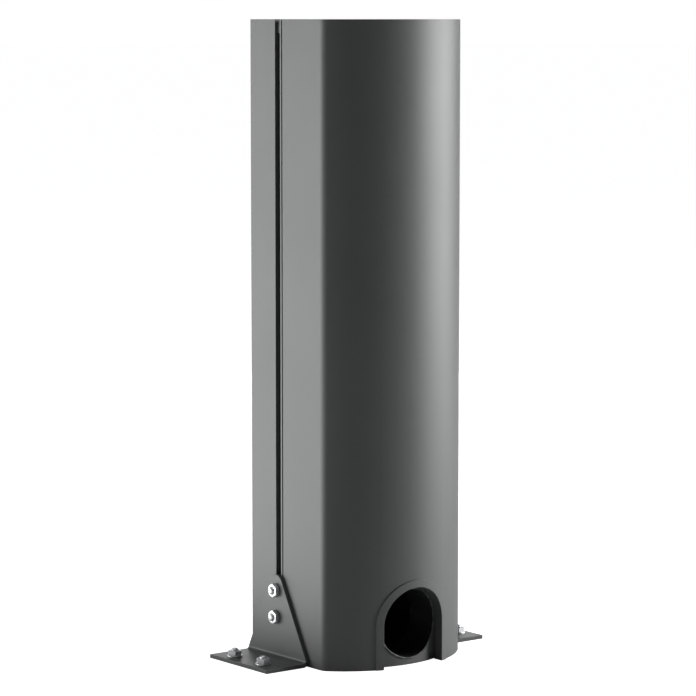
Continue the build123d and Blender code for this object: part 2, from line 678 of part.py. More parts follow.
# Foot brackets: folded plate, tapering up to a round top over the side slot.
ANCHOR_X = CASING_HALF_WIDTH + BRACKET_REACH - ANCHOR_INSET
for side_name, side in (("left", -1), ("right", 1)):
    with BuildPart() as foot_bracket:
        with BuildSketch(Plane.XZ.offset(-BRACKET_CENTRE_Y - BRACKET_WIDTH / 2)):
            leg = sorted((side * CASING_HALF_WIDTH, side * (CASING_HALF_WIDTH + BRACKET_THICKNESS)))
            flange = sorted((side * CASING_HALF_WIDTH, side * (CASING_HALF_WIDTH + BRACKET_REACH)))
            strip(*leg, 0, BRACKET_TOP_Z)
            strip(*flange, 0, BRACKET_THICKNESS)
        extrude(amount=BRACKET_WIDTH)
        bends = ((0.0, BRACKET_BEND), (BRACKET_THICKNESS, BRACKET_BEND - BRACKET_THICKNESS))
        for bend_inset, bend_radius in bends:
            bend_place = (side * (CASING_HALF_WIDTH + bend_inset), BRACKET_CENTRE_Y, bend_inset)
            fold_lines = foot_bracket.edges().filter_by(Axis.Y)
            fillet(fold_lines.sort_by_distance(bend_place)[0], bend_radius)
        with BuildSketch(Plane.YZ.offset(-CUT_REACH)):
            with Locations((0, BRACKET_TOP_Z - BRACKET_TOP_RADIUS)):
                Circle(BRACKET_TOP_RADIUS)
            with Locations((BRACKET_CENTRE_Y, BRACKET_BEND / 2)):
                Rectangle(BRACKET_WIDTH, BRACKET_BEND)
            make_hull()
        extrude(amount=2 * CUT_REACH, mode=Mode.INTERSECT)
        with BuildSketch(Plane.YZ.offset(-CUT_REACH)):
            with Locations(*[(0, z) for z in SIDE_BOLT_Z]):
                Circle(M8_HOLE_RADIUS)
        extrude(amount=2 * CUT_REACH, mode=Mode.SUBTRACT)
        with BuildSketch():
            with Locations((side * ANCHOR_X, BRACKET_CENTRE_Y)):
                with GridLocations(0, 2 * ANCHOR_HALF_PITCH, 1, 2):
                    Circle(M8_HOLE_RADIUS)
        extrude(amount=BRACKET_THICKNESS, mode=Mode.SUBTRACT)
    finish(foot_bracket.part, f"foot_bracket_{side_name}")

# T-bolts in the side slots, with their nuts, and the floor studs with theirs.
BRACKET_FACE = CASING_HALF_WIDTH + BRACKET_THICKNESS
SIDE_FACES = [
    Plane((side * BRACKET_FACE, 0, z), x_dir=(0, 0, 1), z_dir=(side, 0, 0))
    for side in (-1, 1)
    for z in SIDE_BOLT_Z
]
SLOT_LIP_FACES = [
    Plane((side * LIP_IN, 0, z), x_dir=(0, 0, 1), z_dir=(side, 0, 0))
    for side in (-1, 1)
    for z in SIDE_BOLT_Z
]
SIDE_STUD_LENGTH = SLOT_LIP + BRACKET_THICKNESS + NUT_HEIGHT + STUD_PROUD
ANCHORS = [
    (side * ANCHOR_X, BRACKET_CENTRE_Y + step * ANCHOR_HALF_PITCH)
    for side in (-1, 1)
    for step in (-1, 1)
]
with BuildPart() as t_bolt:
    add(domed_stud(SIDE_STUD_LENGTH))
    with BuildSketch():
        Rectangle(T_HEAD_WIDTH, T_HEAD_LENGTH)
    extrude(amount=-T_HEAD_THICKNESS)
with BuildPart() as slot_bolts:
    with Locations(*SLOT_LIP_FACES):
        add(t_bolt.part)
finish(slot_bolts.part, "slot_bolts")
with BuildPart() as slot_nuts:
    with Locations(*SIDE_FACES):
        add(hex_nut())
finish(slot_nuts.part, "slot_nuts")
WASHER_TOP_Z = BRACKET_THICKNESS + WASHER_THICKNESS
with BuildPart() as floor_studs:
    with Locations(*ANCHORS):
        add(domed_stud(WASHER_TOP_Z + NUT_HEIGHT + STUD_PROUD))
finish(floor_studs.part, "floor_studs")
with BuildPart() as floor_washers:
    with BuildSketch(Plane.XY.offset(BRACKET_THICKNESS)):
        with Locations(*ANCHORS):
            Circle(WASHER_RADIUS)
            Circle(M8_RADIUS + WASHER_GAP, mode=Mode.SUBTRACT)
    extrude(amount=WASHER_THICKNESS)
finish(floor_washers.part, "floor_washers")
with BuildPart() as floor_nuts:
    with Locations(*[(x, y, WASHER_TOP_Z) for x, y in ANCHORS]):
        add(hex_nut())
finish(floor_nuts.part, "floor_nuts")

# Screws of the frame and the base plate, and those that hold the guide casing to the rear wall.
with BuildPart() as frame_screws:
    with Locations(*[(x, y, TOP_FRAME_TOP_Z) for x, y in FRAME_SCREWS]):
        add(countersunk_screw(FRAME_SCREW_LENGTH))
finish(frame_screws.part, "frame_screws")
with BuildPart() as base_screws:
    with Locations(Plane.XY.rotated((180, 0, 0))):
        with Locations(*[(x, -y) for x, y in FRAME_SCREWS]):
            add(countersunk_screw(BASE_SCREW_LENGTH))
finish(base_screws.part, "base_screws")
REAR_FACE = Plane((0, CASING_REAR_Y, 0), x_dir=(1, 0, 0), z_dir=(0, 1, 0))
with BuildPart() as rear_screws:
    with Locations(REAR_FACE):
        with Locations(*[(x, -z) for x, z in REAR_SCREWS]):
            add(countersunk_screw(CASING_REAR_Y - GUIDE_INNER_REAR_Y - SCREW_END_GAP))
finish(rear_screws.part, "rear_screws")
with BuildPart() as guide_spacers:
    with BuildSketch(Plane.XZ.offset(-CASING_REAR_Y + WALL)):
        with Locations(*REAR_SCREWS):
            Circle(SPACER_RADIUS)
            Circle(M5_HOLE_RADIUS + SPACER_GAP, mode=Mode.SUBTRACT)
    extrude(amount=CASING_REAR_Y - WALL - GUIDE_REAR_Y)
finish(guide_spacers.part, "guide_spacers")

# Gas spring, fixed half: rod with its eye and piston, in a fork on the base plate.
base_clevis = spring_clevis(BASE_THICKNESS, 1)
finish(base_clevis, "base_clevis")
base_pin = clevis_pin(SPRING_BASE_PIN_Z)
finish(base_pin, "base_pin")
with BuildPart() as spring_rod:
    with BuildSketch(Plane.YZ.offset(-EYE_HALF_THICKNESS)):
        with Locations((SPRING_Y, SPRING_BASE_PIN_Z)):
            Circle(EYE_RADIUS)
    extrude(amount=2 * EYE_HALF_THICKNESS)
    with BuildSketch(Plane.XY.offset(SPRING_BASE_PIN_Z)):
        with Locations((0, SPRING_Y)):
            Circle(SPRING_ROD_RADIUS)
    extrude(amount=PISTON_BOTTOM_Z - SPRING_BASE_PIN_Z)
    with BuildSketch(Plane.YZ.offset(-EYE_HALF_THICKNESS)):
        with Locations((SPRING_Y, SPRING_BASE_PIN_Z)):
            Circle(PIN_RADIUS + RUNNING)
    extrude(amount=2 * EYE_HALF_THICKNESS, mode=Mode.SUBTRACT)
finish(spring_rod.part, "spring_rod")
with BuildPart() as spring_piston:
    with BuildSketch(Plane.XY.offset(PISTON_BOTTOM_Z)):
        with Locations((0, SPRING_Y)):
            Circle(SPRING_BORE_RADIUS - PISTON_GAP)
    extrude(amount=PISTON_HEIGHT)
    chamfer(spring_piston.edges().filter_by(GeomType.CIRCLE), PISTON_CHAMFER)
finish(spring_piston.part, "spring_piston")

# ============================== Rising post ==============================

with BuildPart() as post_tube:
    with BuildSketch(Plane.XY.offset(POST_BOTTOM_Z)):
        add(post_section(0))
        add(post_section(-POST_WALL), mode=Mode.SUBTRACT)
        with Locations(*POST_BOSSES):
            Circle(BOSS_RADIUS)
        add(post_section(0), mode=Mode.INTERSECT)
        with Locations(*POST_BOSSES):
            Circle(M5_HOLE_RADIUS, mode=Mode.SUBTRACT)
    extrude(amount=POST_TOP_Z - POST_BOTTOM_Z)
    with BuildSketch(Plane.XY.offset(BAND_BOTTOM_Z)):
        add(post_section(CUT_PAST))
        add(post_section(-BAND_DEPTH), mode=Mode.SUBTRACT)
    extrude(amount=BAND_HEIGHT, mode=Mode.SUBTRACT)
    with BuildSketch(Plane.XY.offset(CAM_BOTTOM_Z - CAM_SLOT_GAP)):
        strip(*CAM_SLOT_X, POST_REAR_Y - POST_WALL - CUT_PAST, POST_REAR_Y + CUT_PAST)
    extrude(amount=CAM_THICKNESS + 2 * CAM_SLOT_GAP, mode=Mode.SUBTRACT)
finish(post_tube.part, "post_tube")

reflective_band = ring(
    post_section(-BAND_GAP),
    post_section(-BAND_DEPTH),
    BAND_BOTTOM_Z + BAND_GAP,
    BAND_BOTTOM_Z + BAND_HEIGHT - BAND_GAP,
)
finish(reflective_band, "reflective_band")

# Foot plate and guide shoe, both notched to pass the lower keeper.
NOTCH_X = (KEEPER_X[0] - KEEPER_NOTCH_GAP, KEEPER_X[1] + KEEPER_NOTCH_GAP)
with BuildPart() as post_foot:
    with BuildSketch(Plane.XY.offset(FOOT_BOTTOM_Z)):
        add(post_section(FOOT_LIP))
        strip(*NOTCH_X, POST_REAR_Y, GUIDE_REAR_Y, mode=Mode.SUBTRACT)
        with Locations((0, SPRING_Y)):
            Circle(SPRING_TUBE_RADIUS + SPRING_TUBE_GAP, mode=Mode.SUBTRACT)
        with Locations((0, LOCK_Y)):
            Circle(BUSH_RADIUS, mode=Mode.SUBTRACT)
    extrude(amount=FOOT_THICKNESS)
    with Locations(Plane.XY.offset(FOOT_BOTTOM_Z).rotated((180, 0, 0))):
        with Locations(*[(x, -y) for x, y in POST_BOSSES]):
            CounterSinkHole(M5_HOLE_RADIUS, M5_HEAD_RADIUS, depth=FOOT_THICKNESS + CUT_PAST)
finish(post_foot.part, "post_foot")
with BuildPart() as guide_shoe:
    with BuildSketch(Plane.XY.offset(POST_BOTTOM_Z)):
        add(guide_section(WALL + GUIDE_RUNNING_GAP))
        add(post_section(0), mode=Mode.SUBTRACT)
        strip(*NOTCH_X, POST_REAR_Y - CUT_PAST, GUIDE_REAR_Y, mode=Mode.SUBTRACT)
    extrude(amount=SHOE_HEIGHT)
finish(guide_shoe.part, "guide_shoe")

# Post cap: pocket for the lifting handle, recess for the lock cover.
with BuildPart() as post_cap:
    with BuildSketch(Plane.XY.offset(POST_TOP_Z)):
        add(post_section(0))
    extrude(amount=CAP_TOP_Z - POST_TOP_Z)
    chamfer(post_cap.faces().sort_by(Axis.Z)[-1].outer_wire().edges(), CAP_CHAMFER)
    with BuildSketch(Plane.XY.offset(HANDLE_FLOOR_Z)):
        with Locations((0, HANDLE_POCKET_CENTRE_Y)):
            RectangleRounded(HANDLE_POCKET_X, HANDLE_POCKET_Y, HANDLE_POCKET_CORNER)
    extrude(amount=CAP_TOP_Z - HANDLE_FLOOR_Z, mode=Mode.SUBTRACT)
    with BuildSketch(Plane.XY.offset(FLAP_RECESS_Z)):
        with Locations((0, FLAP_RECESS_CENTRE_Y)):
            RectangleRounded(FLAP_RECESS_X, FLAP_RECESS_Y, FLAP_RECESS_CORNER)
    extrude(amount=CAP_TOP_Z - FLAP_RECESS_Z, mode=Mode.SUBTRACT)
    with BuildSketch(Plane.XY.offset(POST_TOP_Z)):
        with Locations((0, LOCK_Y)):
            Circle(SLEEVE_RADIUS)
    extrude(amount=CAP_TOP_Z - POST_TOP_Z, mode=Mode.SUBTRACT)
    with BuildSketch(Plane.YZ.offset(-HANDLE_PIN_END_X)):
        with Locations((HANDLE_PIVOT_Y, HANDLE_Z)):
            Circle(HANDLE_PIN_RADIUS + PRESSED)
    extrude(amount=2 * HANDLE_PIN_END_X, mode=Mode.SUBTRACT)
    with BuildSketch(Plane.YZ.offset(-FLAP_PIN_HALF)):
        with Locations((FLAP_PIVOT_Y, FLAP_PIVOT_Z)):
            Circle(FLAP_PIN_RADIUS + PRESSED)
    extrude(amount=2 * FLAP_PIN_HALF, mode=Mode.SUBTRACT)
    with Locations(Plane.XY.offset(CAP_TOP_Z)):
        with Locations(*POST_BOSSES):
            CounterSinkHole(M5_HOLE_RADIUS, M5_HEAD_RADIUS, depth=CAP_TOP_Z - POST_TOP_Z + CUT_PAST)
finish(post_cap.part, "post_cap")

with BuildPart() as cap_screws:
    with Locations(*[(x, y, CAP_TOP_Z) for x, y in POST_BOSSES]):
        add(countersunk_screw(CAP_SCREW_LENGTH))
finish(cap_screws.part, "cap_screws")
with BuildPart() as foot_screws:
    with Locations(Plane.XY.offset(FOOT_BOTTOM_Z).rotated((180, 0, 0))):
        with Locations(*[(x, -y) for x, y in POST_BOSSES]):
            add(countersunk_screw(FOOT_SCREW_LENGTH))
finish(foot_screws.part, "foot_screws")

# Gas spring, moving half: closed tube with its gland, hung from a fork under the cap.
head_clevis = spring_clevis(POST_TOP_Z, -1)
finish(head_clevis, "head_clevis")
head_pin = clevis_pin(SPRING_HEAD_PIN_Z)
finish(head_pin, "head_pin")
with BuildPart() as spring_tube:
    with BuildSketch(Plane.XY.offset(SPRING_TUBE_BOTTOM_Z)):
        with Locations((0, SPRING_Y)):
            Circle(SPRING_TUBE_RADIUS)
    extrude(amount=SPRING_TUBE_TOP_Z - SPRING_TUBE_BOTTOM_Z)
    with BuildSketch(Plane.XY.offset(SPRING_TUBE_BOTTOM_Z)):
        with Locations((0, SPRING_Y)):
            Circle(SPRING_BORE_RADIUS)
    extrude(amount=SPRING_TUBE_TOP_Z - SPRING_END_THICKNESS - SPRING_TUBE_BOTTOM_Z, mode=Mode.SUBTRACT)
    with BuildSketch(Plane.XY.offset(SPRING_TUBE_TOP_Z)):
        with Locations((0, SPRING_Y)):
            Circle(SPRING_ROD_RADIUS)
    extrude(amount=SPRING_HEAD_PIN_Z - SPRING_TUBE_TOP_Z)
    with BuildSketch(Plane.YZ.offset(-EYE_HALF_THICKNESS)):
        with Locations((SPRING_Y, SPRING_HEAD_PIN_Z)):
            Circle(EYE_RADIUS)
    extrude(amount=2 * EYE_HALF_THICKNESS)
    with BuildSketch(Plane.YZ.offset(-EYE_HALF_THICKNESS)):
        with Locations((SPRING_Y, SPRING_HEAD_PIN_Z)):
            Circle(PIN_RADIUS + RUNNING)
    extrude(amount=2 * EYE_HALF_THICKNESS, mode=Mode.SUBTRACT)
finish(spring_tube.part, "spring_tube")
with BuildPart() as spring_gland:
    with BuildSketch(Plane.XY.offset(SPRING_TUBE_BOTTOM_Z)):
        with Locations((0, SPRING_Y)):
            Circle(SPRING_BORE_RADIUS - PRESSED)
            Circle(SPRING_ROD_RADIUS + RUNNING, mode=Mode.SUBTRACT)
    extrude(amount=GLAND_HEIGHT)
finish(spring_gland.part, "spring_gland")

# Bearings of the lock rod: a sleeve in the cap for the barrel and a bush in the foot plate.
with BuildPart() as lock_sleeve:
    with BuildSketch(Plane.XY.offset(SLEEVE_BOTTOM_Z)):
        with Locations((0, LOCK_Y)):
            Circle(SLEEVE_RADIUS - PRESSED)
            Circle(BARREL_RADIUS + RUNNING, mode=Mode.SUBTRACT)
    extrude(amount=SLEEVE_HEIGHT)
finish(lock_sleeve.part, "lock_sleeve")
with BuildPart() as rod_bush:
    with BuildSketch(Plane.XY.offset(FOOT_BOTTOM_Z)):
        with Locations((0, LOCK_Y)):
            Circle(BUSH_RADIUS - PRESSED)
            Circle(LOCK_ROD_RADIUS + RUNNING, mode=Mode.SUBTRACT)
    extrude(amount=FOOT_THICKNESS)
    with BuildSketch(Plane.XY.offset(POST_BOTTOM_Z)):
        with Locations((0, LOCK_Y)):
            Circle(BUSH_RADIUS + BUSH_FLANGE)
            Circle(LOCK_ROD_RADIUS + RUNNING, mode=Mode.SUBTRACT)
    extrude(amount=BUSH_FLANGE)
finish(rod_bush.part, "rod_bush")

# ============================== Lock ==============================

with BuildPart() as lock_barrel:
    with BuildSketch(Plane.XY.offset(BARREL_BOTTOM_Z)):
        with Locations((0, LOCK_Y)):
            Circle(BARREL_RADIUS)
    extrude(amount=BARREL_TOP_Z - BARREL_BOTTOM_Z)
    with BuildSketch(Plane.XY.offset(BARREL_TOP_Z)):
        with Locations((0, LOCK_Y)):
            RegularPolygon(KEY_RADIUS, KEY_SIDES)
    extrude(amount=-KEY_DEPTH, mode=Mode.SUBTRACT)
finish(lock_barrel.part, "lock_barrel")
with BuildPart() as lock_rod:
    with BuildSketch(Plane.XY.offset(LOCK_ROD_BOTTOM_Z)):
        with Locations((0, LOCK_Y)):
            Circle(LOCK_ROD_RADIUS)
    extrude(amount=BARREL_BOTTOM_Z - LOCK_ROD_BOTTOM_Z)
    chamfer(lock_rod.edges().sort_by(Axis.Z)[0], LOCK_ROD_CHAMFER)
finish(lock_rod.part, "lock_rod")
with BuildPart() as lock_cam:
    with BuildSketch(Plane.XY.offset(CAM_BOTTOM_Z)):
        with Locations((0, LOCK_Y)):
            Circle(CAM_REACH)
        strip(-CUT_REACH, 0, LOCK_Y - CAM_HALF_WIDTH, LOCK_Y + CAM_HALF_WIDTH, mode=Mode.INTERSECT)
        with Locations((0, LOCK_Y)):
            Circle(CAM_HUB_RADIUS)
            Circle(LOCK_ROD_RADIUS + PRESSED, mode=Mode.SUBTRACT)
    extrude(amount=CAM_THICKNESS)
finish(lock_cam.part, "lock_cam")
with BuildPart() as cam_collars:
    for collar_z in (CAM_BOTTOM_Z - COLLAR_HEIGHT, CAM_BOTTOM_Z + CAM_THICKNESS):
        with BuildSketch(Plane.XY.offset(collar_z)):
            with Locations((0, LOCK_Y)):
                Circle(COLLAR_RADIUS)
                Circle(LOCK_ROD_RADIUS + PRESSED, mode=Mode.SUBTRACT)
        extrude(amount=COLLAR_HEIGHT)
finish(cam_collars.part, "cam_collars")

# ============================== Handle and lock cover ==============================

with BuildPart() as lift_handle:
    with BuildLine():
        FilletPolyline(
            (-HANDLE_HALF_WIDTH, HANDLE_PIVOT_Y, HANDLE_Z),
            (-HANDLE_HALF_WIDTH, HANDLE_PIVOT_Y - HANDLE_REACH, HANDLE_Z),
            (HANDLE_HALF_WIDTH, HANDLE_PIVOT_Y - HANDLE_REACH, HANDLE_Z),
            (HANDLE_HALF_WIDTH, HANDLE_PIVOT_Y, HANDLE_Z),
            radius=HANDLE_BEND,
        )
    with BuildSketch(Plane((-HANDLE_HALF_WIDTH, HANDLE_PIVOT_Y, HANDLE_Z), z_dir=(0, -1, 0))):
        Circle(HANDLE_ROD_RADIUS)
    sweep()
    for side in (-1, 1):
        with BuildSketch(Plane.YZ.offset(side * HANDLE_HALF_WIDTH - HANDLE_EYE_HALF)):
            with Locations((HANDLE_PIVOT_Y, HANDLE_Z)):
                Circle(HANDLE_EYE_RADIUS)
        extrude(amount=2 * HANDLE_EYE_HALF)
    with BuildSketch(Plane.YZ.offset(-HANDLE_PIN_END_X)):
        with Locations((HANDLE_PIVOT_Y, HANDLE_Z)):
            Circle(HANDLE_PIN_RADIUS + RUNNING)
    extrude(amount=2 * HANDLE_PIN_END_X, mode=Mode.SUBTRACT)
finish(lift_handle.part, "lift_handle")
with BuildPart() as handle_pins:
    for side in (-1, 1):
        with BuildSketch(Plane.YZ.offset(side * HANDLE_PIN_START_X)):
            with Locations((HANDLE_PIVOT_Y, HANDLE_Z)):
                Circle(HANDLE_PIN_RADIUS)
        extrude(amount=side * (HANDLE_PIN_END_X - HANDLE_PIN_START_X))
finish(handle_pins.part, "handle_pins")

with BuildPart() as lock_cover:
    with BuildSketch(Plane.XY.offset(FLAP_BOTTOM_Z)):
        strip(-FLAP_HALF_WIDTH, FLAP_HALF_WIDTH, FLAP_FRONT_Y, FLAP_REAR_Y)
    extrude(amount=FLAP_THICKNESS)
    fillet(lock_cover.edges().filter_by(Axis.Z).group_by(Axis.Y)[0], FLAP_CORNER)
    with BuildSketch(Plane.YZ.offset(-FLAP_HALF_WIDTH)):
        with Locations((FLAP_PIVOT_Y, FLAP_PIVOT_Z)):
            Circle(FLAP_KNUCKLE_RADIUS)
    extrude(amount=2 * FLAP_HALF_WIDTH)
    with BuildSketch(Plane.YZ.offset(-FLAP_HALF_WIDTH)):
        with Locations((FLAP_PIVOT_Y, FLAP_PIVOT_Z)):
            Circle(FLAP_PIN_RADIUS + RUNNING)
    extrude(amount=2 * FLAP_HALF_WIDTH, mode=Mode.SUBTRACT)
finish(lock_cover.part, "lock_cover")
with BuildPart() as cover_pin:
    with BuildSketch(Plane.YZ.offset(-FLAP_PIN_HALF)):
        with Locations((FLAP_PIVOT_Y, FLAP_PIVOT_Z)):
            Circle(FLAP_PIN_RADIUS)
    extrude(amount=2 * FLAP_PIN_HALF)
finish(cover_pin.part, "cover_pin")
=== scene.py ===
import json
import math

import bmesh
import bpy
from mathutils import Euler, Matrix, Vector


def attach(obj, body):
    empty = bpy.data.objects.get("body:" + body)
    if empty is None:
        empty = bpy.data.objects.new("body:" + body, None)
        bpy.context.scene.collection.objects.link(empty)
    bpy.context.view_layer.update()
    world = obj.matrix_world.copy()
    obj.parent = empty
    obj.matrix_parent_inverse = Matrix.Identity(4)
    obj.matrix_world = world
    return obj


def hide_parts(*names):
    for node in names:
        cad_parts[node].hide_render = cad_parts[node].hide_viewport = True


# Retractable bollard in its D-section casing: finishes, eased edges, threaded fixings and studio.
# Metres, +Z up; the bowed front faces -Y and the casing stands on Z = 0.

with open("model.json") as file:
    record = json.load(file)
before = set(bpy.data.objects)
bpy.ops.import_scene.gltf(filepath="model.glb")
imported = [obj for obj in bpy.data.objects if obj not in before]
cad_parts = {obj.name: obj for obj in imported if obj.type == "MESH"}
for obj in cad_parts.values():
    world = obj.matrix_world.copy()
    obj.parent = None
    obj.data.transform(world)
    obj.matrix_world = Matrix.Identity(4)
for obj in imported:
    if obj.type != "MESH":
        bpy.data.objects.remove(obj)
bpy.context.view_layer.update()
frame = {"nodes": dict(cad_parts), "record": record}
cad_nodes = frame["nodes"]
record = frame["record"]
body_of_node = {n: body for body, group in record["behaviour"]["bodies"].items() for n in group}
slot_of_node = {part["node"]: part["material_slot"] for part in record["subparts"]}
MM = 0.001

# ---- Node tree helpers ----


def add(tree, kind, inputs=None, **settings):
    """A node with its settings; inputs are plain values, or sockets to link from."""
    made = tree.nodes.new(kind)
    for name, value in settings.items():
        setattr(made, name, value)
    for name, value in (inputs or {}).items():
        if isinstance(value, bpy.types.NodeSocket):
            tree.links.new(value, made.inputs[name])
        else:
            made.inputs[name].default_value = value
    return made


def maths(tree, operation, a, b, clamp=False):
    """Output of a Math node."""
    return add(tree, "ShaderNodeMath", {0: a, 1: b}, operation=operation, use_clamp=clamp).outputs[0]


def noise(tree, place, scale, detail, roughness=0.5):
    """Output of a Noise Texture, 0 to 1."""
    inputs = {"Vector": place, "Scale": scale, "Detail": detail, "Roughness": roughness}
    return add(tree, "ShaderNodeTexNoise", inputs).outputs[0]


def weighed(tree, a, share_of_a, b):
    """Sum of two values whose shares add up to one."""
    part_of_a = maths(tree, "MULTIPLY", a, share_of_a)
    return maths(tree, "ADD", part_of_a, maths(tree, "MULTIPLY", b, 1.0 - share_of_a))


MIX_SHARE, MIX_FIRST, MIX_SECOND, MIX_RESULT = 0, 6, 7, 2


def blend_colour(tree, share, first, second):
    """Colour that goes from the first to the second as the share grows."""
    inputs = {MIX_SHARE: share, MIX_FIRST: first, MIX_SECOND: second}
    return add(tree, "ShaderNodeMix", inputs, data_type="RGBA").outputs[MIX_RESULT]


def ramp_from(tree, value, low, high):
    """A value stretched so that low becomes 0 and high becomes 1."""
    inputs = {"Value": value, "From Min": low, "From Max": high}
    return add(tree, "ShaderNodeMapRange", inputs, clamp=True).outputs[0]


def ramp_to(tree, value, low, high):
    """A 0 to 1 value turned into one between low and high."""
    inputs = {"Value": value, "To Min": low, "To Max": high}
    return add(tree, "ShaderNodeMapRange", inputs, clamp=True).outputs[0]


def new_group(name, inputs, outputs):
    """Shader group with named inputs (name, type, value) and named outputs (name, type)."""
    tree = bpy.data.node_groups.new(name, "ShaderNodeTree")
    for label, kind, value in inputs:
        socket = tree.interface.new_socket(label, in_out="INPUT", socket_type=kind)
        if value is not None:
            socket.default_value = value
    for label, kind in outputs:
        tree.interface.new_socket(label, in_out="OUTPUT", socket_type=kind)
    return tree, tree.nodes.new("NodeGroupInput").outputs, tree.nodes.new("NodeGroupOutput").inputs


def new_material(name):
    """Material with an empty node tree."""
    material = bpy.data.materials.new(name)
    material.use_nodes = True
    material.node_tree.nodes.clear()
    return material, material.node_tree


def own_place(tree):
    """Coordinates of the object that wears the material."""
    return tree.nodes.new("ShaderNodeTexCoord").outputs["Object"]


def put_out(tree, kind, shader):
    """Output node that takes a shader's result."""
    tree.links.new(shader.outputs[0], tree.nodes.new(kind).inputs["Surface"])


# ---- Effects that the finishes share ----

NUMBER, PLACE = "NodeSocketFloat", "NodeSocketVector"


def build_coat_relief():
    """Orange peel and fine grain of a sprayed or moulded skin, with broad patches of tone."""
    tree, given, out = new_group(
        "coat relief",
        [
            ("Place", PLACE, None),
            ("Peel Scale", NUMBER, 500.0),
            ("Grain Scale", NUMBER, 2600.0),
            ("Grain Share", NUMBER, 0.35),
        ],
        [("Height", NUMBER), ("Tone", NUMBER)],
    )
    peel = noise(tree, given["Place"], given["Peel Scale"], detail=1.0)
    grain = noise(tree, given["Place"], given["Grain Scale"], detail=3.0, roughness=0.6)
    share = given["Grain Share"]
    grain_part = maths(tree, "MULTIPLY", grain, share)
    peel_part = maths(tree, "MULTIPLY", peel, maths(tree, "SUBTRACT", 1.0, share))
    tree.links.new(maths(tree, "ADD", peel_part, grain_part), out["Height"])
    broad = noise(tree, given["Place"], scale=7.0, detail=3.0)
    speckle = noise(tree, given["Place"], scale=160.0, detail=2.0)
    tone = weighed(tree, broad, 0.7, speckle)
    tree.links.new(ramp_from(tree, tone, low=0.3, high=0.7), out["Tone"])
    return tree


def build_drawn_marks():
    """Fine lines that drawing or turning leaves in a metal; Stretch is the noise scale per axis."""
    tree, given, out = new_group(
        "drawn marks",
        [("Place", PLACE, None), ("Stretch", PLACE, (1200.0, 1200.0, 30.0))],
        [("Height", NUMBER), ("Tone", NUMBER)],
    )
    across = {0: given["Place"], 1: given["Stretch"]}
    stretched = add(tree, "ShaderNodeVectorMath", across, operation="MULTIPLY").outputs[0]
    lines = noise(tree, stretched, scale=1.0, detail=4.0, roughness=0.65)
    stain = noise(tree, given["Place"], scale=40.0, detail=3.0)
    tree.links.new(lines, out["Height"])
    tone = weighed(tree, lines, 0.45, stain)
    tree.links.new(ramp_from(tree, tone, low=0.3, high=0.7), out["Tone"])
    return tree


def build_zinc_patches():
    """Small cloudy patches and pits of a zinc plating."""
    tree, given, out = new_group(
        "zinc patches",
        [("Place", PLACE, None), ("Patch Scale", NUMBER, 420.0)],
        [("Height", NUMBER), ("Tone", NUMBER)],
    )
    patches = {"Vector": given["Place"], "Scale": given["Patch Scale"], "Randomness": 1.0}
    cells = add(tree, "ShaderNodeTexVoronoi", patches, feature="SMOOTH_F1").outputs["Distance"]
    cloud = noise(tree, given["Place"], scale=130.0, detail=3.0)
    pits = noise(tree, given["Place"], scale=2200.0, detail=2.0)
    tree.links.new(weighed(tree, cells, 0.4, pits), out["Height"])
    tone = weighed(tree, cells, 0.35, cloud)
    tree.links.new(ramp_from(tree, tone, low=0.25, high=0.75), out["Tone"])
    return tree


def build_edge_wear():
    """Rounded normal at sharp edges, and a broken mask along those edges: worn edges on most
    finishes, and a painted highlight along the duct pipe's rim.
    """
    tree, given, out = new_group(
        "edge wear",
        [
            ("Place", PLACE, None),
            ("Radius", NUMBER, 0.5 * MM),
            ("Breakup Scale", NUMBER, 260.0),
            ("Amount", NUMBER, 0.5),
        ],
        [("Wear And Highlight", NUMBER), ("Normal", PLACE)],
    )
    rounded = add(tree, "ShaderNodeBevel", {"Radius": given["Radius"]}, samples=6).outputs[0]
    flat = tree.nodes.new("ShaderNodeNewGeometry").outputs["Normal"]
    match = add(tree, "ShaderNodeVectorMath", {0: rounded, 1: flat}, operation="DOT_PRODUCT")
    edge = ramp_from(tree, match.outputs["Value"], low=0.985, high=0.86)
    patchy = noise(tree, given["Place"], given["Breakup Scale"], detail=4.0, roughness=0.65)
    rubbed_and_highlit = maths(tree, "MULTIPLY", edge, ramp_from(tree, patchy, low=0.42, high=0.62))
    tree.links.new(maths(tree, "MULTIPLY", rubbed_and_highlit, given["Amount"], clamp=True), out["Wear And Highlight"])
    tree.links.new(rounded, out["Normal"])
    return tree


def build_floor_dust():
    """Dust that rain splashes up from the floor, thinning with height."""
    tree, given, out = new_group(
        "floor dust",
        [("Place", PLACE, None), ("Reach", NUMBER, 90.0 * MM), ("Amount", NUMBER, 0.3)],
        [("Dust", NUMBER)],
    )
    height = add(tree, "ShaderNodeSeparateXYZ", {0: given["Place"]}).outputs["Z"]
    low = ramp_from(tree, maths(tree, "DIVIDE", height, given["Reach"]), low=1.0, high=0.0)
    spots = noise(tree, given["Place"], scale=90.0, detail=5.0, roughness=0.7)
    splashed = ramp_from(tree, spots, low=0.4, high=0.75)
    faded = maths(tree, "MULTIPLY", maths(tree, "POWER", low, 2.0), splashed)
    tree.links.new(maths(tree, "MULTIPLY", faded, given["Amount"]), out["Dust"])
    return tree


GROUPS = {
    "coat": build_coat_relief(),
    "drawn": build_drawn_marks(),
    "zinc": build_zinc_patches(),
    "wear_and_highlight": build_edge_wear(),
    "dust": build_floor_dust(),
}


def place_group(tree, name, inputs):
    """Outputs of a shared group placed in a material."""
    return add(tree, "ShaderNodeGroup", inputs, node_tree=GROUPS[name]).outputs


# ---- Finishes ----

